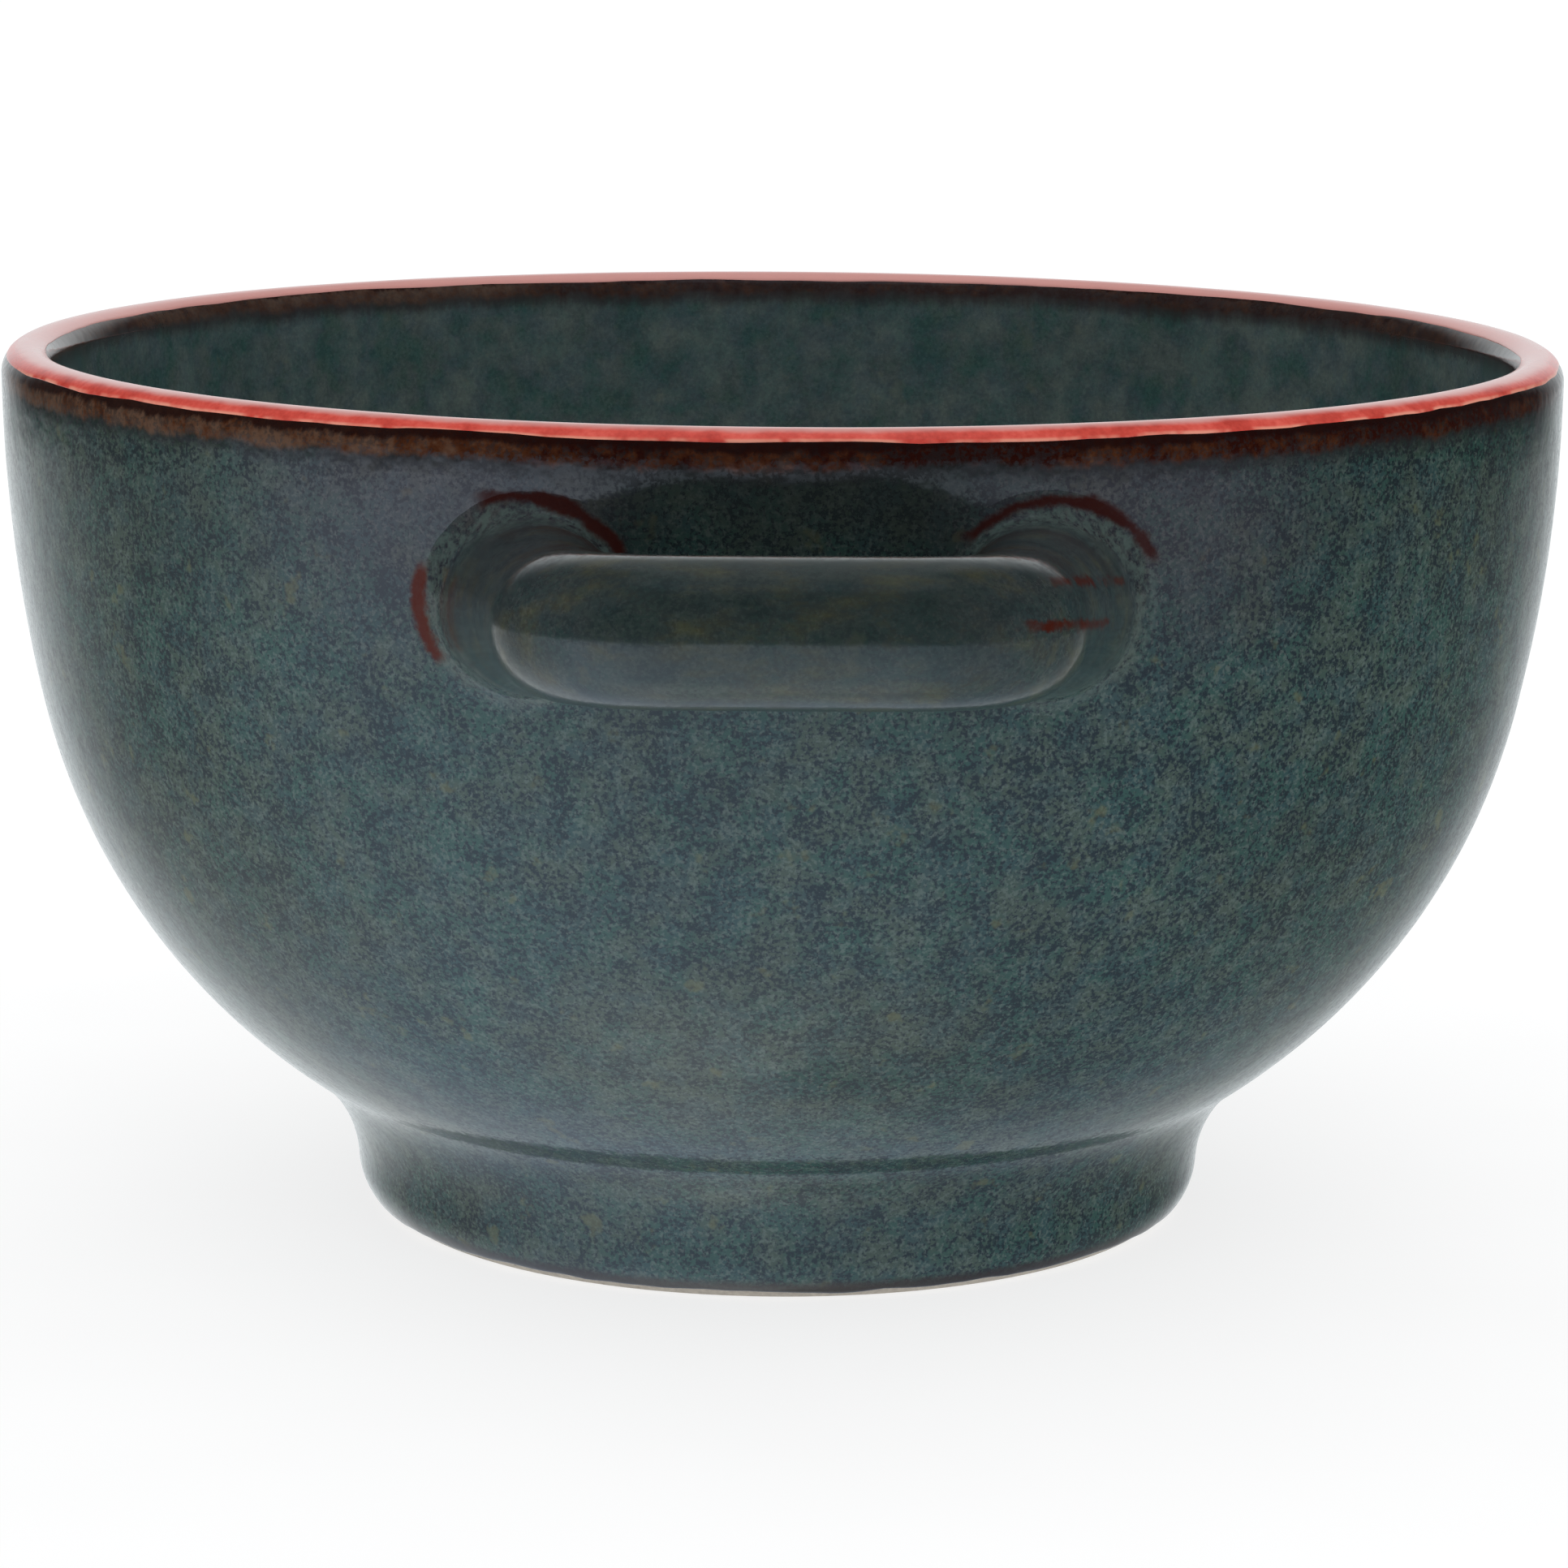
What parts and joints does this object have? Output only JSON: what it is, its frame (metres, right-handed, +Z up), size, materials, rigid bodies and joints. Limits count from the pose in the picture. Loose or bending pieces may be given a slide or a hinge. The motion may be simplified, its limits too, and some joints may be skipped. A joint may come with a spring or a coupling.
{
  "type": "lug soup bowl",
  "caption": "Deep round stoneware soup bowl on a turned foot ring, with horizontal loop lugs, speckled green-grey glaze and a coral-red lip.",
  "frame": {"origin": "centre of the foot ring, on the table", "axes": "+Z up along the bowl's axis, +Y towards the rear lug and -Y towards the front lug"},
  "size_m": [0.136, 0.1852, 0.0769],
  "materials": {
    "stoneware": "bare fired clay, fine and matt",
    "luting_slip": "bare fired slip, matt",
    "speckled_glaze": "glossy mottled green-grey, brown on edges",
    "lip_enamel": "glossy coral red"
  },
  "bodies": {
    "root": {"bowl_body": "stoneware", "foot_ring": "stoneware", "front_lug": "stoneware", "rear_lug": "stoneware", "front_lug_slip": "luting_slip", "rear_lug_slip": "luting_slip", "outer_glaze": "speckled_glaze", "inner_glaze": "speckled_glaze", "recess_glaze": "speckled_glaze", "lip_band": "lip_enamel", "front_lug_glaze": "speckled_glaze", "rear_lug_glaze": "speckled_glaze"}
  },
  "joints": []
}
